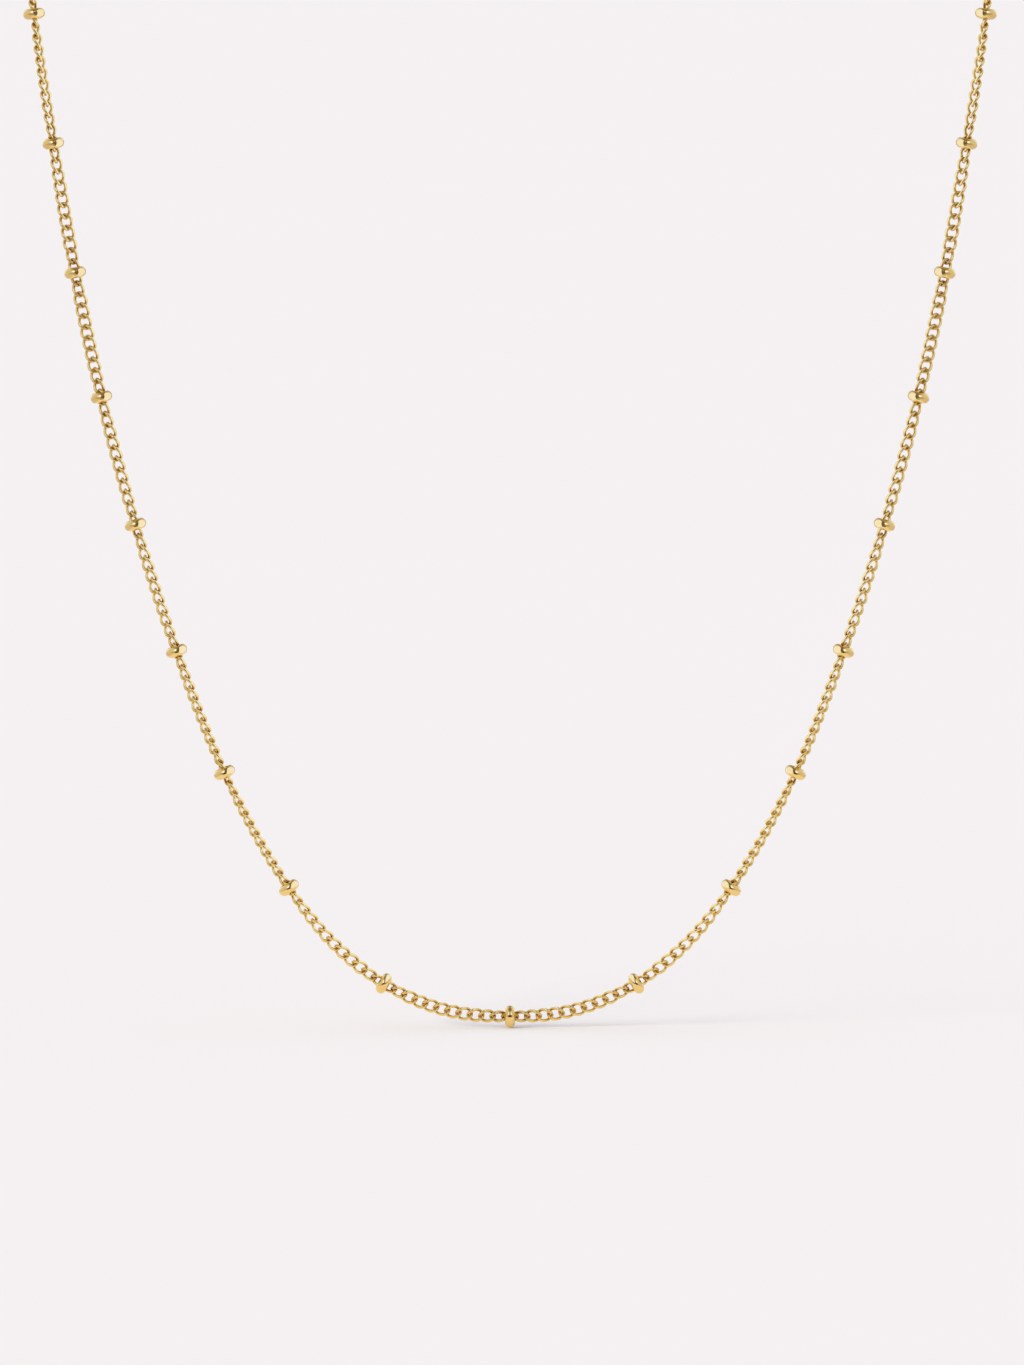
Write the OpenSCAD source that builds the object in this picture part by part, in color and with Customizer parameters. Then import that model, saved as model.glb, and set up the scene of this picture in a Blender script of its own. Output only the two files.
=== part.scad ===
// Fine chain necklace with small round beads at even steps, hanging as it is worn.
// Sizes are in millimetres. X points to the right as seen from the front, Y back to the nape, Z up.
// Left and right are as seen from the front.
// The origin is the middle of the neck opening, at the height where the chain turns over the shoulders.

/* [Chain] */
// Width of the chain between two beads
chain_w = 1.65; // [1.4:0.05:1.8]
// Thickness of the chain, across its flat side
chain_t = 0.88; // [0.7:0.02:0.96]
// Width of the chain where it runs through a bead
chain_bead_w = 1.2; // [1:0.05:1.2]
// Space between the two halves of the chain, inside the middle bead
middle_gap = 0.1; // [0.1:0.02:0.3]

/* [Beads] */
// Outer diameter of a bead
bead_d = 2.5; // [2.3:0.1:2.9]
// Length of a bead along the chain
bead_l = 1.2; // [1:0.05:1.4]
// Diameter of the hole that the chain runs through
bead_bore = 1.5; // [1.5:0.05:1.6]

/* [Clasp] */
// Outer diameter of the clasp's ring
ring_d = 5.6; // [5:0.2:7]
// Thickness of the ring's wire
ring_wire = 1; // [0.8:0.1:1.2]
// Outer diameter of the small eye at each side of the ring
eye_d = 2.1; // [1.9:0.1:2.4]
// Thickness of an eye's wire
eye_wire = 0.5; // [0.45:0.05:0.6]
// Space between an eye and the end of the chain
end_gap = 0.25; // [0.2:0.05:0.4]

/* [Wearing] */
// Height of the shoulders above the lowest bead
seat_height = 130; // [120:1:140]
// Distance from the hanging front of the chain back to the middle of the neck
seat_depth = 26; // [20:1:32]

/* [Hidden] */
$fn = 48;
// Sides of the chain's tube
SIDES = 8;
// A place this close to a row, in rows, counts as on it
NEAR = 0.05;
// How far an eye is soldered into the ring
eye_overlap = 0.3;

// One half of the chain's route, from the lowest bead round to the clasp. The other half is its mirror image.
//   X_, Y_, Z_  sideways, back and up from the lowest bead
//   BEAD_       1 where a bead sits
//   STEPS_      lengths of tube from this row to the next
//   FACE_       which way the flat side looks: 0 forwards, 90 sideways, 180 back
//   TURN_       how far the chain is twisted from there, about its own line
X_ = 0;
Y_ = 1;
Z_ = 2;
BEAD_ = 3;
STEPS_ = 4;
FACE_ = 5;
TURN_ = 6;
ROUTE = [
    [0,    0,    0,     1, 2, 0,   0],
    [7.5,  0,    0.8,   0, 2, 0,   4],
    [14.4, 0,    3.8,   1, 1, 0,   8],
    [20.4, 0,    8.7,   0, 1, 0,   30],
    [25.2, 0,    14.8,  1, 1, 0,   55],
    [29.1, 0,    21.2,  0, 1, 0,   60],
    [32.5, 0,    28,    1, 2, 0,   64],
    [37.9, 0,    41.9,  1, 2, 0,   48],
    [42.5, 0,    56.3,  1, 2, 0,   42],
    [46.3, 0,    70.8,  1, 2, 0,   25],
    [49.2, 0,    84.9,  1, 2, 0,   0],
    [51.6, 0,    99.5,  1, 2, 0,   -50],
    [53.7, 0,    114.1, 1, 2, 0,   -78],
    [54.5, 0.8,  121.6, 0, 2, 25,  -60],
    [53.9, 3.8,  128.2, 1, 2, 55,  -35],
    [51.8, 8.8,  133.4, 0, 2, 85,  -15],
    [48.2, 14.8, 136.8, 1, 3, 105, 0],
    [40.2, 26.8, 140,   1, 3, 125, 0],
    [30.3, 37.8, 142,   1, 3, 140, 0],
    [18.2, 46.4, 143.1, 1, 2, 158, 0],
    [0,    51.2, 143.5, 0, 0, 180, 0]
];
LAST = len(ROUTE) - 1;
BEAD_ROWS = [for (i = [1 : LAST]) if (ROUTE[i][BEAD_] == 1) i];
BEADS = len(BEAD_ROWS);

// Distances from the middle of the clasp to the middle and to the outside of an eye
eye_at = ring_d / 2 + eye_d / 2 - eye_overlap;
clasp_reach = eye_at + eye_d / 2;

// A row's place, with rows past either end of the half taken from the mirrored half
function mirrored(p) = [-p.x, p.y, p.z];
function place(i) =
    i < 0 ? mirrored(place(-i)) :
    i > LAST ? mirrored(place(2 * LAST - i)) :
    [ROUTE[i][X_], ROUTE[i][Y_] - seat_depth, ROUTE[i][Z_] - seat_height];

// A smooth curve through the rows: u counts rows, so 2.5 is halfway from row 2 to row 3
function unit(v) = v / norm(v);
function chord(i) = norm(place(i + 1) - place(i));
function slope(i) =
    let (before = chord(i - 1), after = chord(i))
    (after * (place(i) - place(i - 1)) / before + before * (place(i + 1) - place(i)) / after)
    / (before + after);
function span(u) = min(floor(u), LAST - 1);
function curve(u) =
    let (i = span(u), t = u - i, l = chord(i))
    (2 * t ^ 3 - 3 * t ^ 2 + 1) * place(i) + (t ^ 3 - 2 * t ^ 2 + t) * l * slope(i)
    + (3 * t ^ 2 - 2 * t ^ 3) * place(i + 1) + (t ^ 3 - t ^ 2) * l * slope(i + 1);
function heading(u) =
    let (i = span(u), t = u - i, l = chord(i))
    unit((6 * t ^ 2 - 6 * t) * (place(i) - place(i + 1)) + (3 * t ^ 2 - 4 * t + 1) * l * slope(i)
    + (3 * t ^ 2 - 2 * t) * l * slope(i + 1));

// The direction that the flat side looks in, square to the chain's line
function between(u, column) =
    let (i = span(u))
    ROUTE[i][column] + (u - i) * (ROUTE[i + 1][column] - ROUTE[i][column]);
function flat_side(u) =
    let (line = heading(u), face = between(u, FACE_), turn = between(u, TURN_),
        out = [sin(face), -cos(face), 0], plain = unit(out - (out * line) * line))
    plain * cos(turn) + cross(line, plain) * sin(turn);

// One ring of the chain's tube: an oval of SIDES points, narrower inside a bead
function in_bead(u) = abs(u - round(u)) < NEAR && ROUTE[round(u)][BEAD_] == 1;
function ring(u) =
    let (thick = flat_side(u) * chain_t / 2,
        wide = cross(heading(u), flat_side(u)) * (in_bead(u) ? chain_bead_w : chain_w) / 2)
    [for (k = [0 : SIDES - 1]) curve(u) + wide * cos(k * 360 / SIDES) + thick * sin(k * 360 / SIDES)];

START_U = middle_gap / 2 / chord(0);
END_U = LAST - (clasp_reach + end_gap) / chord(LAST - 1);
STATIONS = concat(
    [START_U],
    [for (i = [0 : LAST - 1]) for (k = [0 : ROUTE[i][STEPS_] - 1]) let (u = i + k / ROUTE[i][STEPS_])
        if (u > START_U && u < END_U) u],
    [END_U]
);

module chain_half() {
    rings = [for (u = STATIONS) ring(u)];
    last = len(rings) - 1;
    points = [for (r = rings) each r];
    walls = [for (s = [0 : last - 1]) for (k = [0 : SIDES - 1])
        let (a = s * SIDES + k, b = s * SIDES + (k + 1) % SIDES)
        each [[a, b, b + SIDES], [a, b + SIDES, a + SIDES]]];
    near_end = [for (k = [1 : SIDES - 2]) [0, k + 1, k]];
    far_end = [for (k = [1 : SIDES - 2]) [last * SIDES, last * SIDES + k, last * SIDES + k + 1]];
    polyhedron(points = points, faces = concat(walls, near_end, far_end));
}

module chain_left() {
    color("gold") mirror([1, 0, 0]) chain_half();
}

module chain_right() {
    color("gold") chain_half();
}

// A round bead with a full rim and a straight hole, its axis along Z
module bead() {
    rotate_extrude() intersection() {
        translate([bead_d / 2 - bead_l / 2, 0]) circle(bead_l / 2);
        translate([bead_bore / 2, -bead_l]) square([bead_d, bead_l * 2]);
    }
}

// A bead at one of the route's rows, with its hole along the chain
module bead_on_row(i) {
    line = heading(i);
    color("goldenrod") translate(place(i)) rotate([0, acos(line.z), atan2(line.y, line.x)]) bead();
}

module bead_middle() {
    bead_on_row(0);
}

module bead_right(n) {
    bead_on_row(BEAD_ROWS[n - 1]);
}

module bead_left(n) {
    mirror([1, 0, 0]) bead_right(n);
}

// A round wire bent into a closed ring about Z
module wire_ring(outer_d, wire_d) {
    rotate_extrude() translate([outer_d / 2 - wire_d / 2, 0]) circle(wire_d / 2);
}

// The closed clasp at the nape: an upright ring with a level eye at each side for the last link
module clasp() {
    color("goldenrod") translate(place(LAST)) {
        rotate([90, 0, 0]) wire_ring(ring_d, ring_wire);
        for (side = [-1, 1]) translate([side * eye_at, 0, 0]) wire_ring(eye_d, eye_wire);
    }
}

chain_left();
chain_right();
bead_middle();
for (n = [1 : BEADS]) bead_left(n);
for (n = [1 : BEADS]) bead_right(n);
clasp();
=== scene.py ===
"""Dresses a fine neck chain with round beads: its links, beads, clasp and gold, on a pale studio floor.

Sizes are in metres. X points to the right as seen from the front, Y back to the nape, Z up.
"""
import math

import bpy
import numpy as np
from bpy.props import FloatProperty, FloatVectorProperty, IntProperty, PointerProperty
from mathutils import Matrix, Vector


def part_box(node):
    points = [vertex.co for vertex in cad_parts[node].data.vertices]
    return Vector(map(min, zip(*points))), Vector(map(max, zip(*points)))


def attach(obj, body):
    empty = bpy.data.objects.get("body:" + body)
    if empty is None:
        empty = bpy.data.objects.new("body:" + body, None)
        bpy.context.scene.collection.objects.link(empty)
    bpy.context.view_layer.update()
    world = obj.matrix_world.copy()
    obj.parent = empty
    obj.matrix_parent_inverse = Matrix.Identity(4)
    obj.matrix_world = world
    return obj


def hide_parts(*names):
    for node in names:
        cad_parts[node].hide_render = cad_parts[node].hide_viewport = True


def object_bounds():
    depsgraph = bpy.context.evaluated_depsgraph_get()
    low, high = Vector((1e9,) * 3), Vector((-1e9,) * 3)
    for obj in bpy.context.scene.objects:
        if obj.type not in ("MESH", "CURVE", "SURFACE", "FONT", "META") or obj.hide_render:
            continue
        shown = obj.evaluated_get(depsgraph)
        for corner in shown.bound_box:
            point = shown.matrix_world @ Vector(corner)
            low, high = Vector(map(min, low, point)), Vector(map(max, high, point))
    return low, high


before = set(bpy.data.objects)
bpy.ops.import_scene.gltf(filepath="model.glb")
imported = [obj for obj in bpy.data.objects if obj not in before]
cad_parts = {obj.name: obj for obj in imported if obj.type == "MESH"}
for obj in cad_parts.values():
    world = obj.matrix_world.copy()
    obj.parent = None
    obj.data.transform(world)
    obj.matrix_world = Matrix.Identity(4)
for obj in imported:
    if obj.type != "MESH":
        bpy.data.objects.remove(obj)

bl_info = {
    "name": "Beaded neck chain",
    "version": (1, 0, 0),
    "blender": (4, 5, 0),
    "location": "3D View > Sidebar > Necklace",
    "description": "Builds the links, beads, clasp and gold of a fine beaded neck chain, and a pale studio",
    "category": "Object",
}

BODY = "root"
CAD_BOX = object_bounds()
BEAD_LOW, BEAD_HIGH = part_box("bead_middle")
CLASP_LOW, CLASP_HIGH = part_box("clasp")
BEAD_NODES = [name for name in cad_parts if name.startswith("bead_")]

# The origin is above the lowest bead by the first, and behind the hanging front of the chain by the second
SEAT_HEIGHT = 0.13
SEAT_DEPTH = 0.026

# The right half of the chain's route, from the lowest bead round to the clasp, as the part's source has it.
# A row holds the place sideways, back and up from the lowest bead, whether a bead sits there, which way
# the flat side looks (0 forwards, 90 sideways, 180 back), and how far the chain is twisted from there, both
# in degrees
ROUTE = (
    (0, 0, 0, True, 0, 0),
    (0.0075, 0, 0.0008, False, 0, 4),
    (0.0144, 0, 0.0038, True, 0, 8),
    (0.0204, 0, 0.0087, False, 0, 30),
    (0.0252, 0, 0.0148, True, 0, 55),
    (0.0291, 0, 0.0212, False, 0, 60),
    (0.0325, 0, 0.028, True, 0, 64),
    (0.0379, 0, 0.0419, True, 0, 48),
    (0.0425, 0, 0.0563, True, 0, 42),
    (0.0463, 0, 0.0708, True, 0, 25),
    (0.0492, 0, 0.0849, True, 0, 0),
    (0.0516, 0, 0.0995, True, 0, -50),
    (0.0537, 0, 0.1141, True, 0, -78),
    (0.0545, 0.0008, 0.1216, False, 25, -60),
    (0.0539, 0.0038, 0.1282, True, 55, -35),
    (0.0518, 0.0088, 0.1334, False, 85, -15),
    (0.0482, 0.0148, 0.1368, True, 105, 0),
    (0.0402, 0.0268, 0.14, True, 125, 0),
    (0.0303, 0.0378, 0.142, True, 140, 0),
    (0.0182, 0.0464, 0.1431, True, 158, 0),
    (0, 0.0512, 0.1435, False, 180, 0),
)
# Turns places of the right half into their mirror images on the left
MIRRORED = np.array((-1, 1, 1))


def unit(vectors):
    """The vectors at length one."""
    return vectors / np.linalg.norm(vectors, axis=-1, keepdims=True)


class Route:
    """The smooth line through the route's rows. A place on it is its length from the lowest bead."""

    samples_a_row = 64

    def __init__(self):
        rows = np.array([row[:3] for row in ROUTE]) - (0, SEAT_DEPTH, SEAT_HEIGHT)
        around = np.vstack([rows[1] * MIRRORED, rows, rows[-2] * MIRRORED])
        steps = np.diff(around, axis=0)
        lengths = np.linalg.norm(steps, axis=1)[:, None]
        before, after = lengths[:-1], lengths[1:]
        self.rows = rows
        self.chords = after
        self.slopes = (after * steps[:-1] / before + before * steps[1:] / after) / (before + after)
        self.last = len(rows) - 1
        self.samples = np.linspace(0, self.last, self.last * self.samples_a_row + 1)
        places = self.place(self.samples)
        walked = np.cumsum(np.linalg.norm(np.diff(places, axis=0), axis=1))
        self.lengths = np.concatenate([[0], walked])

    def parts(self, u):
        """The row before each u, and how far past that row u is."""
        first = np.minimum(np.floor(u).astype(int), self.last - 1)
        return first, (u - first)[:, None]

    def place(self, u):
        """Points of the line, where u counts rows."""
        i, t = self.parts(u)
        reach = self.chords[i]
        return (
            (2 * t**3 - 3 * t**2 + 1) * self.rows[i]
            + (t**3 - 2 * t**2 + t) * reach * self.slopes[i]
            + (3 * t**2 - 2 * t**3) * self.rows[i + 1]
            + (t**3 - t**2) * reach * self.slopes[i + 1]
        )

    def heading(self, u):
        """Directions of the line."""
        i, t = self.parts(u)
        reach = self.chords[i]
        return unit(
            (6 * t**2 - 6 * t) * (self.rows[i] - self.rows[i + 1])
            + (3 * t**2 - 4 * t + 1) * reach * self.slopes[i]
            + (3 * t**2 - 2 * t) * reach * self.slopes[i + 1]
        )

    def axes(self, lengths):
        """The place at each length, and the directions there: along, across and out of the flat side."""
        u = np.interp(lengths, self.lengths, self.samples)
        rows = np.arange(self.last + 1)
        face = np.radians(np.interp(u, rows, [row[4] for row in ROUTE]))
        turn = np.radians(np.interp(u, rows, [row[5] for row in ROUTE]))[:, None]
        along = self.heading(u)
        out = np.stack([np.sin(face), -np.cos(face), np.zeros_like(face)], axis=1)
        plain = unit(out - np.sum(out * along, axis=1, keepdims=True) * along)
        flat = plain * np.cos(turn) + np.cross(along, plain) * np.sin(turn)
        return self.place(u), along, np.cross(along, flat), flat

    def bead_lengths(self):
        """Lengths at which the beads sit, from the lowest one on."""
        return np.array([self.lengths[i * self.samples_a_row] for i, row in enumerate(ROUTE) if row[3]])


# Sizes and colours that a user may change


class ChainSizes(bpy.types.PropertyGroup):
    wire: FloatProperty(
        name="Wire", description="Thickness of a link's wire", default=0.00036, unit="LENGTH", precision=5
    )
    half_width: FloatProperty(
        name="Half width",
        description="Distance from a link's middle to the middle of the wire at its side",
        default=0.000635,
        unit="LENGTH",
        precision=6,
    )
    bead_half_width: FloatProperty(
        name="Half width at a bead",
        description="The same distance on the links that run through a bead",
        default=0.0005,
        unit="LENGTH",
        precision=6,
    )
    twist: FloatProperty(
        name="Twist",
        description="How far each end of a link is turned about the chain's line",
        default=math.radians(45),
        unit="ROTATION",
    )
    square: FloatProperty(
        name="Squareness",
        description="1 makes a link oval, and a smaller power makes its corners fuller",
        default=0.9,
    )
    slant: FloatProperty(
        name="Slant",
        description="How far a link's sides are shifted along the chain, as a part of its half width",
        default=0.1,
    )
    play: FloatProperty(
        name="Play",
        description="Space between two neighbouring links when the chain is taut",
        default=0.00003,
        unit="LENGTH",
        precision=6,
    )
    links_a_step: FloatProperty(
        name="Links a step", description="Links from one bead to the next", default=11.5, min=1
    )
    tail_links: IntProperty(
        name="Tail links", description="Links from the last bead to the clasp", default=11, min=1
    )
    rings: IntProperty(name="Rings", description="Sections round one link", default=40, min=12)
    sides: IntProperty(name="Sides", description="Corners of a link's wire", default=12, min=6)


class BeadSizes(bpy.types.PropertyGroup):
    diameter: FloatProperty(
        name="Diameter",
        description="Outer diameter of a bead",
        default=BEAD_HIGH.z - BEAD_LOW.z,
        unit="LENGTH",
        precision=5,
    )
    length: FloatProperty(
        name="Length",
        description="Length of a bead along the chain",
        default=BEAD_HIGH.x - BEAD_LOW.x,
        unit="LENGTH",
        precision=5,
    )
    bore: FloatProperty(
        name="Bore", description="Diameter of the bead's hole", default=0.0015, unit="LENGTH", precision=5
    )
    edge: FloatProperty(
        name="Edge", description="Rounding of the hole's edges", default=0.00005, unit="LENGTH", precision=6
    )
    sides: IntProperty(name="Sides", description="Sections round a bead", default=64, min=12)


class ClaspSizes(bpy.types.PropertyGroup):
    ring_diameter: FloatProperty(
        name="Ring",
        description="Outer diameter of the clasp's ring",
        default=CLASP_HIGH.z - CLASP_LOW.z,
        unit="LENGTH",
        precision=5,
    )
    ring_wire: FloatProperty(
        name="Ring wire",
        description="Thickness of the ring's wire",
        default=0.001,
        unit="LENGTH",
        precision=5,
    )


class GoldLook(bpy.types.PropertyGroup):
    colour: FloatVectorProperty(
        name="Gold",
        description="Colour of polished gold",
        subtype="COLOR",
        size=3,
        default=(0.955, 0.69, 0.26),
    )
    link: FloatVectorProperty(
        name="Link gold",
        description="Colour of the gold on the links",
        subtype="COLOR",
        size=3,
        default=(0.98, 0.73, 0.26),
    )
    deep: FloatVectorProperty(
        name="Deep gold",
        description="Colour of the gold where the polish has not reached",
        subtype="COLOR",
        size=3,
        default=(0.9, 0.55, 0.13),
    )
    # Painted shade: the darker gold laid where two links lie against each other stands in for the shade
    # between them
    crevice_shade: FloatVectorProperty(
        name="Crevices",
        description="Colour of the gold where two links lie against each other",
        subtype="COLOR",
        size=3,
        default=(0.6, 0.34, 0.045),
    )
    roughness: FloatProperty(
        name="Roughness",
        description="How dull the best polish is",
        default=0.06,
        min=0,
        max=1,
        subtype="FACTOR",
    )


class StudioLook(bpy.types.PropertyGroup):
    floor: FloatVectorProperty(
        name="Floor",
        description="Colour that the lit floor and the far background show",
        subtype="COLOR",
        size=3,
        default=(0.913, 0.880, 0.888),
    )
    paint: FloatVectorProperty(
        name="Floor paint",
        description="Colour of the floor itself, which the light turns into the one above",
        subtype="COLOR",
        size=3,
        default=(0.7173, 0.7266, 0.7787),
    )
    lamp: FloatProperty(
        name="Lamp", description="Strength of the soft lamp that casts the shadow", default=4.2
    )
    lamp_colour: FloatVectorProperty(
        name="Lamp colour",
        description="Colour of that lamp",
        subtype="COLOR",
        size=3,
        default=(1.0, 0.92, 0.7),
    )
    lamp_from: FloatVectorProperty(
        name="Lamp side",
        description="The direction that the lamp shines from",
        subtype="XYZ",
        size=3,
        default=(-3, -2, 1),
    )
    lamp_size: FloatProperty(
        name="Lamp size",
        description="Angle that the lamp fills, which softens the shadow",
        default=math.radians(34),
        unit="ROTATION",
    )
    distance: FloatProperty(
        name="Distance", description="From the camera to the chain's front", default=0.95, unit="LENGTH"
    )
    height: FloatProperty(
        name="Elevation",
        description="How far the camera looks down",
        default=math.radians(5.5),
        unit="ROTATION",
    )
    aim: FloatVectorProperty(
        name="Aim",
        description="The point at the middle of the picture",
        subtype="TRANSLATION",
        unit="LENGTH",
        size=3,
        default=(0.00023, -SEAT_DEPTH, -0.0917),
    )
    tall: FloatProperty(
        name="Height of the view",
        description="How much the picture shows from top to bottom",
        default=0.1552,
        unit="LENGTH",
    )


# Shader writing


class Value:
    """One socket of a shader's node tree, so that sums on it are written as plain expressions."""

    def __init__(self, shader, socket):
        self.shader = shader
        self.socket = socket

    def sum(self, operation, first, second):
        """The value of one sum of two values or numbers."""
        inputs = {"Value": first, "Value_001": second}
        return self.shader.node("ShaderNodeMath", {"operation": operation}, inputs)("Value")

    def __add__(self, other):
        return self.sum("ADD", self, other)

    def __radd__(self, other):
        return self.sum("ADD", other, self)

    def __sub__(self, other):
        return self.sum("SUBTRACT", self, other)

    def __rsub__(self, other):
        return self.sum("SUBTRACT", other, self)

    def __mul__(self, other):
        return self.sum("MULTIPLY", self, other)

    def __rmul__(self, other):
        return self.sum("MULTIPLY", other, self)

    def __neg__(self):
        return self.sum("MULTIPLY", self, -1)

    def __abs__(self):
        return self.sum("ABSOLUTE", self, 0)


class Shader:
    """Writes the node tree of one material, or of the world."""

    def __init__(self, tree):
        self.tree = tree
        tree.nodes.clear()

    def node(self, kind, settings=None, inputs=None):
        """Adds a node, and gives back a function that takes an output's name and gives its value."""
        made = self.tree.nodes.new(kind)
        for name, setting in (settings or {}).items():
            setattr(made, name, setting)
        sockets = {socket.identifier: socket for socket in made.inputs}
        for name, given in (inputs or {}).items():
            if isinstance(given, Value):
                self.tree.links.new(given.socket, sockets[name])
            else:
                sockets[name].default_value = given
        outputs = {socket.identifier: socket for socket in made.outputs}
        return lambda name: Value(self, outputs[name])

    def blend(self, factor, first, second):
        """A colour between two colours."""
        inputs = {"Factor_Float": factor, "A_Color": first, "B_Color": second}
        return self.node("ShaderNodeMix", {"data_type": "RGBA"}, inputs)("Result_Color")

    def step(self, value, low, high):
        """A smooth step from 0 where the value is low to 1 where it is high."""
        inputs = {"Value": value, "From Min": low, "From Max": high}
        return self.node("ShaderNodeMapRange", {"interpolation_type": "SMOOTHSTEP"}, inputs)("Result")

    def noise(self, where, scale, detail=2.0):
        """Soft noise from 0 to 1, with so many waves a metre."""
        inputs = {"Vector": where, "Scale": scale, "Detail": detail}
        return self.node("ShaderNodeTexNoise", {}, inputs)("Fac")


def solid(colour):
    """A colour with its opacity, as a shader's socket takes it."""
    return (*colour, 1.0)


# Waves a metre of the soft clouds and of the fine grain in the gold's polish
CLOUD_WAVES = 700.0
GRAIN_WAVES = 9000.0
# Clouds above the first level start to show the deep gold, and above the second show this much of it
DEEP_FROM = 0.35
DEEP_FULL = 0.75
DEEP_SHARE = 0.35
# How much the clouds and the grain add to the roughness
CLOUD_DULL = 0.06
GRAIN_DULL = 0.03
# How strong and how deep the unevenness of the polish is, and how much the clouds count against the grain
BUMP_STRENGTH = 0.06
BUMP_DEPTH = 0.00002
BUMP_CLOUDS = 2.0


def gold_material(name, colour, dull=0.0, crevice_shades=False):
    """Polished gold. dull adds roughness, and the last flag says that the mesh marks where painted shade
    between links lies.
    """
    look = bpy.context.scene.necklace_gold
    material = bpy.data.materials.new(name)
    material.use_nodes = True
    shader = Shader(material.node_tree)
    where = shader.node("ShaderNodeTexCoord")("Object")
    clouds = shader.noise(where, CLOUD_WAVES, detail=3.0)
    grain = shader.noise(where, GRAIN_WAVES)
    deep = shader.step(clouds, DEEP_FROM, DEEP_FULL) * DEEP_SHARE
    colour = shader.blend(deep, solid(colour), solid(look.deep))
    if crevice_shades:
        # Painted shade: the gold darkens towards the crevice colour where links lie against each other
        painted_shade = shader.node("ShaderNodeAttribute", {"attribute_name": "crevice_shade"})("Fac")
        colour = shader.blend(painted_shade, colour, solid(look.crevice_shade))
    roughness = look.roughness + dull + clouds * CLOUD_DULL + grain * GRAIN_DULL
    bump = shader.node(
        "ShaderNodeBump",
        {},
        {"Strength": BUMP_STRENGTH, "Distance": BUMP_DEPTH, "Height": grain + clouds * BUMP_CLOUDS},
    )("Normal")
    surface = shader.node(
        "ShaderNodeBsdfPrincipled",
        {},
        {"Base Color": colour, "Metallic": 1.0, "Roughness": roughness, "Normal": bump},
    )("BSDF")
    shader.node("ShaderNodeOutputMaterial", {}, {"Surface": surface})
    return material


# Meshes


def wire_loop(centre, radius, sides):
    """Corners of a round wire bent along a closed line, ring after ring."""
    tangent = unit(np.roll(centre, -1, axis=0) - np.roll(centre, 1, axis=0))
    up = unit(np.array((0, 0, 1)) - tangent[:, 2:] * tangent)
    outwards = np.cross(tangent, up)
    angle = np.linspace(0, 2 * np.pi, sides, endpoint=False)[None, :, None]
    corners = centre[:, None] + radius * (np.cos(angle) * outwards[:, None] + np.sin(angle) * up[:, None])
    return corners.reshape(-1, 3)


def loop_faces(rings, sides):
    """The four-sided faces between the rings of a closed loop."""
    ring, side = np.meshgrid(np.arange(rings), np.arange(sides), indexing="ij")
    next_ring, next_side = (ring + 1) % rings, (side + 1) % sides
    here, beyond = ring * sides, next_ring * sides
    corners = [here + side, beyond + side, beyond + next_side, here + next_side]
    return np.stack(corners, axis=-1).reshape(-1, 4)


def add_piece(name, corners, faces, material, nodes, crevice_shades=None):
    """Adds one smooth mesh that stands for CAD nodes and rides on the necklace."""
    mesh = bpy.data.meshes.new(name)
    mesh.from_pydata(corners.tolist(), [], faces.tolist())
    mesh.polygons.foreach_set("use_smooth", [True] * len(mesh.polygons))
    # Painted shade between links, from 0 to 1 at each corner, which the gold reads
    if crevice_shades is not None:
        painted_shade = mesh.attributes.new("crevice_shade", "FLOAT", "POINT")
        painted_shade.data.foreach_set("value", crevice_shades.astype(np.float32))
    mesh.materials.append(material)
    mesh.validate()
    piece = bpy.data.objects.new(name, mesh)
    bpy.context.scene.collection.objects.link(piece)
    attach(piece, BODY)
    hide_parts(*nodes)
    return piece


def smooth_step(value):
    """From 0 to 1 with soft ends."""
    clipped = np.clip(value, 0, 1)
    return clipped**2 * (3 - 2 * clipped)


# The chain

# Links this many pitches from a bead start to widen, and are full width as many pitches further on
WIDEN_FROM = 1.1
WIDEN_OVER = 1.5
# Steps in the search for a link's length
HALVINGS = 16
# How far from a neighbour's wire the painted shade between links fades out
CREVICE_SHADE_REACH = 0.0005
# How much longer a link is where the chain bends, as a part of how far its sides move for the bend
BEND_ROOM = 0.6
# From the middle of the clasp to the middle of the last link, which runs through the clasp's eye
LAST_LINK_AT = 0.00435
# How much rougher the links are than the beads
LINK_DULL = 0.04


def link_places(route):
    """Lengths at which one half's links are centred, the pitch at each, and pitches to the nearest bead."""
    sizes = bpy.context.scene.necklace_chain
    beads = route.bead_lengths()
    steps = len(beads) - 1
    count = int(round(steps * sizes.links_a_step))
    tail_pitch = (route.lengths[-1] - LAST_LINK_AT - beads[-1]) / sizes.tail_links
    index = np.arange(count + sizes.tail_links + 1)
    step = np.minimum(index / sizes.links_a_step, steps)
    whole = np.minimum(np.floor(step).astype(int), steps - 1)
    in_tail = index > count
    pitch = np.where(in_tail, tail_pitch, np.diff(beads)[whole] / sizes.links_a_step)
    centres = beads[whole] + (step - whole) * np.diff(beads)[whole]
    centres = np.where(in_tail, beads[-1] + (index - count) * tail_pitch, centres)
    near = np.abs(centres[:, None] - beads[None, :]).min(axis=1) / pitch
    return centres, pitch, near


def fuller(wave, power):
    """A wave from -1 to 1 with rounder shoulders."""
    return np.sign(wave) * np.abs(wave) ** power


def link_line(reach, half_width, spin=0, middle=False):
    """The line of one link's wire: along the chain, across it and out of its flat side.

    spin is how far the chain turns from one link to the next, and each end of the link takes half of it.
    """
    sizes = bpy.context.scene.necklace_chain
    angle = np.linspace(0, 2 * np.pi, sizes.rings, endpoint=False)
    along = fuller(np.cos(angle), sizes.square)
    across = half_width * fuller(np.sin(angle), sizes.square)
    # The halves are mirror images, so the link in the middle has both ends turned the same way
    turned = (sizes.twist + spin / 2) * (1 if middle else along)
    along = reach * along + (0 if middle else sizes.slant * across)
    return np.stack([along, across * np.cos(turned), -across * np.sin(turned)], axis=1)


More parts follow.
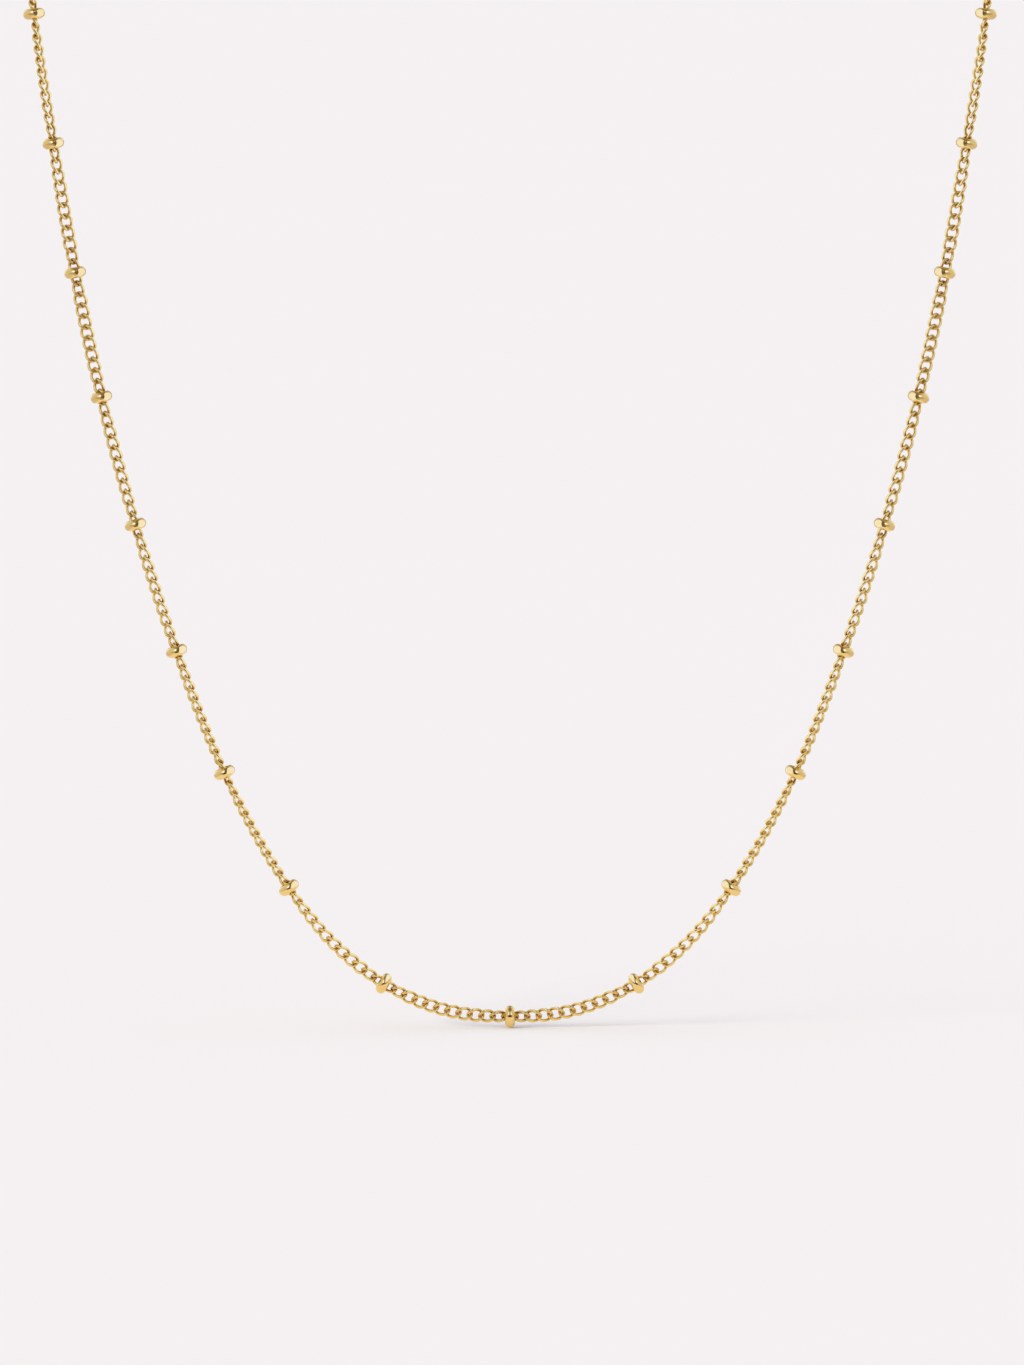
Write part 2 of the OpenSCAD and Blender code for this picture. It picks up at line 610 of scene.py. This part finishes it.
def taut_reach(pitch, half_width):
    """The half length at which a link just clears its neighbour."""
    sizes = bpy.context.scene.necklace_chain
    short, long = pitch / 2, pitch
    for _ in range(HALVINGS):
        reach = (short + long) / 2
        line = link_line(reach, half_width)
        apart = line[:, None] - line[None] - (pitch, 0, 0)
        if np.linalg.norm(apart, axis=2).min() < sizes.wire + sizes.play:
            short = reach
        else:
            long = reach
    return long


def crevice_shade(points, line, pitch):
    """How much painted shade a wire's skin gets: 1 where it lies against a neighbouring link, and 0 a
    little away from it.
    """
    neighbours = np.concatenate([line - (pitch, 0, 0), line + (pitch, 0, 0)])
    apart = np.linalg.norm(points[:, None] - neighbours[None], axis=2).min(axis=1)
    return smooth_step(1 - (apart - bpy.context.scene.necklace_chain.wire / 2) / CREVICE_SHADE_REACH)


def link_spins(along, across):
    """How far the chain turns about its own line from one link to the next, at each link."""
    before = np.vstack([across[:1], across[:-1]])
    after = np.vstack([across[1:], across[-1:]])
    sine = np.sum(np.cross(before, after) * along, axis=1)
    return np.arctan2(sine, np.sum(before * after, axis=1)) / 2


def half_of_links(route, with_middle):
    """Corners, faces and painted shade between links, for the links of the right half."""
    sizes = bpy.context.scene.necklace_chain
    centres, pitches, near = link_places(route)
    places, along, across, flat = route.axes(centres)
    widen = smooth_step((near - WIDEN_FROM) / WIDEN_OVER)
    half_widths = sizes.bead_half_width + (sizes.half_width - sizes.bead_half_width) * widen
    room = BEND_ROOM * half_widths * np.linalg.norm(np.gradient(along, axis=0), axis=1)
    spins = link_spins(along, across)
    corners, crevice_shades = [], []
    for i in range(0 if with_middle else 1, len(centres)):
        reach = taut_reach(pitches[i] + room[i], half_widths[i])
        line = link_line(reach, half_widths[i], spins[i], i == 0)
        points = wire_loop(line, sizes.wire / 2, sizes.sides)
        turned = np.stack([along[i], across[i], flat[i]])
        corners.append(points @ turned + places[i])
        crevice_shades.append(crevice_shade(points, line, pitches[i]))
    faces = loop_faces(sizes.rings, sizes.sides)
    shifts = np.arange(len(corners))[:, None, None] * sizes.rings * sizes.sides
    return np.vstack(corners), (faces[None] + shifts).reshape(-1, 4), np.concatenate(crevice_shades)


class NECKLACE_OT_links(bpy.types.Operator):
    """Adds the two halves of the curb chain, link by link"""

    bl_idname = "necklace.links"
    bl_label = "Curb links"

    def execute(self, context):
        route = Route()
        gold = gold_material("link_gold", context.scene.necklace_gold.link, LINK_DULL, crevice_shades=True)
        # Each half carries the painted shade where its links lie against each other
        corners, faces, painted_shade = half_of_links(route, True)
        add_piece("curb_links_right", corners, faces, gold, ["chain_right"], painted_shade)
        corners, faces, painted_shade = half_of_links(route, False)
        corners, faces = corners * MIRRORED, faces[:, ::-1]
        add_piece("curb_links_left", corners, faces, gold, ["chain_left"], painted_shade)
        return {"FINISHED"}


# The beads

# Points along a bead's rim, round each edge of its hole and down the hole
RIM_POINTS = 29
EDGE_POINTS = 5
HOLE_POINTS = 5


def bead_section():
    """The closed outline of a bead cut through its axis: distances from the axis and along it."""
    sizes = bpy.context.scene.necklace_beads
    rim = sizes.length / 2
    rim_centre = sizes.diameter / 2 - rim
    hole = sizes.bore / 2
    corner = hole + sizes.edge
    opening = math.acos((corner - rim_centre) / (rim - sizes.edge))
    corner_height = (rim - sizes.edge) * math.sin(opening)
    arc = np.linspace(-opening, opening, RIM_POINTS)
    rounding = np.linspace(opening, math.pi, EDGE_POINTS)
    wall = np.linspace(corner_height, -corner_height, HOLE_POINTS)[1:-1]
    outer = np.stack([rim_centre + rim * np.cos(arc), rim * np.sin(arc)], axis=1)
    upper = np.stack(
        [corner + sizes.edge * np.cos(rounding), corner_height + sizes.edge * np.sin(rounding)], axis=1
    )[1:]
    inside = np.stack([np.full(len(wall), hole), wall], axis=1)
    lower = (upper * (1, -1))[::-1]
    return np.vstack([outer, upper, inside, lower])


def bead_mesh(place, axis):
    """Corners and faces of a bead with its hole along axis."""
    sides = bpy.context.scene.necklace_beads.sides
    section = bead_section()
    level = unit(np.cross(axis, (0, 1, 0)))
    other = np.cross(axis, level)
    angle = np.linspace(0, 2 * np.pi, sides, endpoint=False)[:, None, None]
    spoke = np.cos(angle) * level + np.sin(angle) * other
    corners = place + section[None, :, :1] * spoke + section[None, :, 1:] * axis
    return corners.reshape(-1, 3), loop_faces(sides, len(section))


class NECKLACE_OT_beads(bpy.types.Operator):
    """Adds the polished beads, each where its node is"""

    bl_idname = "necklace.beads"
    bl_label = "Polished beads"

    def execute(self, context):
        route = Route()
        gold = gold_material("bead_gold", context.scene.necklace_gold.colour)
        places, along, _, _ = route.axes(route.bead_lengths())
        for name in BEAD_NODES:
            i = 0 if name == "bead_middle" else int(name.split("_")[-1])
            corners, faces = bead_mesh(places[i], along[i])
            if name.startswith("bead_left"):
                corners, faces = corners * MIRRORED, faces[:, ::-1]
            add_piece("polished_" + name, corners, faces, gold, [name])
        return {"FINISHED"}


# The clasp

# The eyes, as the part's source has them: outer diameter, wire, and how far each is soldered into the ring
EYE_DIAMETER = 0.0021
EYE_WIRE = 0.0005
EYE_OVERLAP = 0.0003
# Sections round the ring and round an eye, and corners of their wires
RING_SECTIONS = 72
RING_CORNERS = 24
EYE_SECTIONS = 48
EYE_CORNERS = 16


def ring_mesh(outer, wire, rings, sides):
    """Corners and faces of a round wire bent into a flat ring."""
    angle = np.linspace(0, 2 * np.pi, rings, endpoint=False)
    middle = (outer - wire) / 2
    line = np.stack([middle * np.cos(angle), middle * np.sin(angle), np.zeros(rings)], axis=1)
    return wire_loop(line, wire / 2, sides), loop_faces(rings, sides)


class NECKLACE_OT_clasp(bpy.types.Operator):
    """Adds the closed ring at the nape, with an eye at each side for the last links"""

    bl_idname = "necklace.clasp"
    bl_label = "Ring clasp"

    def execute(self, context):
        sizes = context.scene.necklace_clasp
        place = np.array((CLASP_LOW + CLASP_HIGH) / 2)
        upright, faces = ring_mesh(sizes.ring_diameter, sizes.ring_wire, RING_SECTIONS, RING_CORNERS)
        corners, all_faces = [upright[:, [0, 2, 1]]], [faces[:, ::-1]]
        eye_at = sizes.ring_diameter / 2 + EYE_DIAMETER / 2 - EYE_OVERLAP
        for side in (-1, 1):
            eye, faces = ring_mesh(EYE_DIAMETER, EYE_WIRE, EYE_SECTIONS, EYE_CORNERS)
            all_faces.append(faces + sum(len(made) for made in corners))
            corners.append(eye + (side * eye_at, 0, 0))
        gold = gold_material("clasp_gold", context.scene.necklace_gold.colour)
        corners, faces = np.vstack(corners) + place, np.vstack(all_faces)
        add_piece("ring_clasp", corners, faces, gold, ["clasp"])
        return {"FINISHED"}


# The studio

# What the gold sees round it: the light of the sides, and over it, one after the other, zones of another
# colour. A row holds the two turns away from the front that the zone lies between, in degrees, how soft its
# edges there are, the two rises above the horizon, how soft its edges there are, and its colour
SIDE_LIGHT = (0.7, 0.73, 0.8, 1)
SURROUNDINGS = (
    (0, 60, 18, -30, 9, 6, (0.36, 0.34, 0.31)),
    (128, 164, 8, -8, 34, 9, (1.0, 1.04, 1.2)),
    (164, 200, 6, 4, 100, 8, (0.38, 0.36, 0.33)),
    (-20, 14, 6, -14, 100, 6, (0.12, 0.09, 0.07)),
    (-20, 200, 1, 62, 110, 14, (0.22, 0.18, 0.13)),
    (22, 42, 6, 24, 55, 7, (1.2, 1.4, 2.3)),
    (6, 24, 4, 17, 46, 6, (1.35, 1.6, 2.8)),
)
FLOOR_SIDE = 60.0
# The floor lies this far below the lowest bead
FLOOR_GAP = 0.00005
FLOOR_HEIGHT = float(CAD_BOX[0].z) - FLOOR_GAP
# Waves a metre of the floor's unevenness, and how much paler it makes the paint
FLOOR_WAVES = 3.0
FLOOR_PALER = 1.004
# Some cards lie this far above the floor
CARD_LIFT = 0.0005
CARD_HEIGHT = FLOOR_HEIGHT + CARD_LIFT
# Plain cards that only reflections show. A row holds the name, the middle, the reach from there to two
# edges, and the colour. The first three stand in the middle plane, where the inner sides of the beads see
# them, the next two stand across it in front of the chain, and the last three lie above the floor
CARDS = (
    ("centre_card", (0, -0.0375, -0.01), (0, 0.0525, 0), (0, 0, 0.11), (0.98, 1.15, 1.9)),
    ("shade_card", (0, -0.145, 0.02), (0, 0.055, 0), (0, 0, 0.14), (0.16, 0.13, 0.1)),
    ("back_card", (0, 0.0675, -0.065), (0, 0.0525, 0), (0, 0, 0.065), (0.62, 0.63, 0.68)),
    ("dark_card", (0, -0.2, 0), (0.05, 0, 0), (0, 0, 0.1), (0.16, 0.13, 0.1)),
    ("low_card", (0, -0.1, -0.1145), (0.06, 0, 0), (0, 0, 0.0165), (0.06, 0.045, 0.03)),
    ("near_card", (0, -0.9, CARD_HEIGHT), (1.5, 0, 0), (0, 0.7, 0), (0.45, 0.42, 0.36)),
    ("side_card_left", (-0.8, 0.3, CARD_HEIGHT), (0.725, 0, 0), (0, 0.5, 0), (0.7, 0.67, 0.74)),
    ("side_card_right", (0.8, 0.3, CARD_HEIGHT), (0.725, 0, 0), (0, 0.5, 0), (0.7, 0.67, 0.74)),
)
# The width of the camera's sensor, and how near to it things still show
SENSOR = 0.036
NEAREST = 0.05
MM_A_METRE = 1000


def floor_material(colour):
    """A pale matt floor with a trace of unevenness."""
    material = bpy.data.materials.new("pale_floor")
    material.use_nodes = True
    shader = Shader(material.node_tree)
    where = shader.node("ShaderNodeTexCoord")("Object")
    clouds = shader.noise(where, FLOOR_WAVES)
    paler = [min(1.0, part * FLOOR_PALER) for part in colour]
    paint = shader.blend(clouds, solid(colour), solid(paler))
    surface = shader.node(
        "ShaderNodeBsdfPrincipled",
        {},
        {"Base Color": paint, "Roughness": 1.0, "Specular IOR Level": 0.0},
    )("BSDF")
    shader.node("ShaderNodeOutputMaterial", {}, {"Surface": surface})
    return material


def within(shader, value, low, high, soft):
    """From 0 to 1 where the value is between low and high, with soft edges."""
    return shader.step(value, low - soft, low + soft) * (1 - shader.step(value, high - soft, high + soft))


def world_light(look):
    """Plain light for the floor. The gold sees pale sides, a dark front and ceiling, and two windows."""
    world = bpy.data.worlds.new("pale_studio")
    world.use_nodes = True
    bpy.context.scene.world = world
    shader = Shader(world.node_tree)
    direction = shader.node("ShaderNodeTexCoord")("Generated")
    split = shader.node("ShaderNodeSeparateXYZ", {}, {"Vector": direction})
    side, front = abs(split("X")), -split("Y")
    # Degrees away from the front, and degrees above the horizon
    level = {"Value": side, "Value_001": front}
    turn = shader.node("ShaderNodeMath", {"operation": "ARCTAN2"}, level)("Value") * math.degrees(1)
    upright = {"Value": split("Z")}
    rise = shader.node("ShaderNodeMath", {"operation": "ARCSINE"}, upright)("Value") * math.degrees(1)
    colour = SIDE_LIGHT
    for low, high, soft, least, most, fade, shown in SURROUNDINGS:
        mask = within(shader, turn, low, high, soft) * within(shader, rise, least, most, fade)
        colour = shader.blend(mask, colour, solid(shown))
    rays = shader.node("ShaderNodeLightPath")
    colour = shader.blend(rays("Is Glossy Ray"), solid(look.floor), colour)
    surface = shader.node("ShaderNodeBackground", {}, {"Color": colour, "Strength": 1.0})("Background")
    shader.node("ShaderNodeOutputWorld", {}, {"Surface": surface})


def glow_card(name, centre, across, up, colour):
    """A plain glowing card that only reflections show. across and up reach from its middle to its edges."""
    centre, across, up = Vector(centre), Vector(across), Vector(up)
    corners = [centre - across - up, centre + across - up, centre + across + up, centre - across + up]
    mesh = bpy.data.meshes.new(name)
    mesh.from_pydata(corners, [], [(0, 1, 2, 3)])
    material = bpy.data.materials.new(name)
    material.use_nodes = True
    shader = Shader(material.node_tree)
    glow = shader.node("ShaderNodeEmission", {}, {"Color": solid(colour), "Strength": 1.0})("Emission")
    shader.node("ShaderNodeOutputMaterial", {}, {"Surface": glow})
    material.cycles.emission_sampling = "NONE"
    mesh.materials.append(material)
    card = bpy.data.objects.new(name, mesh)
    bpy.context.scene.collection.objects.link(card)
    card.visible_camera = False
    card.visible_diffuse = False
    card.visible_shadow = False


class NECKLACE_OT_studio(bpy.types.Operator):
    """Adds the pale floor, the soft light and the camera"""

    bl_idname = "necklace.studio"
    bl_label = "Studio"

    def execute(self, context):
        look = context.scene.necklace_studio
        mesh = bpy.data.meshes.new("floor")
        half = FLOOR_SIDE / 2
        corners = [(-half, -half, 0), (half, -half, 0), (half, half, 0), (-half, half, 0)]
        mesh.from_pydata(corners, [], [(0, 1, 2, 3)])
        mesh.materials.append(floor_material(look.paint))
        floor = bpy.data.objects.new("floor", mesh)
        floor.location.z = FLOOR_HEIGHT
        context.scene.collection.objects.link(floor)
        world_light(look)
        for card in CARDS:
            glow_card(*card)

        light = bpy.data.lights.new("soft_lamp", "SUN")
        light.energy = look.lamp
        light.color = look.lamp_colour
        light.angle = look.lamp_size
        lamp = bpy.data.objects.new("soft_lamp", light)
        lamp.rotation_euler = Vector(look.lamp_from).to_track_quat("Z", "Y").to_euler()
        lamp.visible_glossy = False
        context.scene.collection.objects.link(lamp)

        data = bpy.data.cameras.new("camera")
        data.sensor_width = SENSOR * MM_A_METRE
        data.lens = SENSOR * MM_A_METRE * look.distance / look.tall
        data.clip_start = NEAREST
        data.clip_end = FLOOR_SIDE
        camera = bpy.data.objects.new("camera", data)
        back = Vector((0, -math.cos(look.height), math.sin(look.height)))
        camera.location = Vector(look.aim) + back * look.distance
        camera.rotation_euler = (-back).to_track_quat("-Z", "Y").to_euler()
        context.scene.collection.objects.link(camera)
        context.scene.camera = camera
        context.scene.view_settings.view_transform = "Standard"
        return {"FINISHED"}


class NECKLACE_PT_panel(bpy.types.Panel):
    """Lists the steps that build the necklace and its studio"""

    bl_idname = "NECKLACE_PT_panel"
    bl_label = "Beaded neck chain"
    bl_space_type = "VIEW_3D"
    bl_region_type = "UI"
    bl_category = "Necklace"

    def draw(self, context):
        for operator in OPERATORS:
            self.layout.operator(operator.bl_idname)
        for group in GROUPS:
            settings = getattr(context.scene, group)
            box = self.layout.box()
            for name in type(settings).__annotations__:
                box.prop(settings, name)


GROUPS = {
    "necklace_chain": ChainSizes,
    "necklace_beads": BeadSizes,
    "necklace_clasp": ClaspSizes,
    "necklace_gold": GoldLook,
    "necklace_studio": StudioLook,
}
OPERATORS = (NECKLACE_OT_studio, NECKLACE_OT_links, NECKLACE_OT_beads, NECKLACE_OT_clasp)
CLASSES = (*GROUPS.values(), *OPERATORS, NECKLACE_PT_panel)


def register():
    for made in CLASSES:
        bpy.utils.register_class(made)
    for name, group in GROUPS.items():
        setattr(bpy.types.Scene, name, PointerProperty(type=group))


def unregister():
    for name in GROUPS:
        delattr(bpy.types.Scene, name)
    for made in reversed(CLASSES):
        bpy.utils.unregister_class(made)


def main():
    register()
    bpy.ops.necklace.studio()
    bpy.ops.necklace.links()
    bpy.ops.necklace.beads()
    bpy.ops.necklace.clasp()


if __name__ == "__main__":
    main()
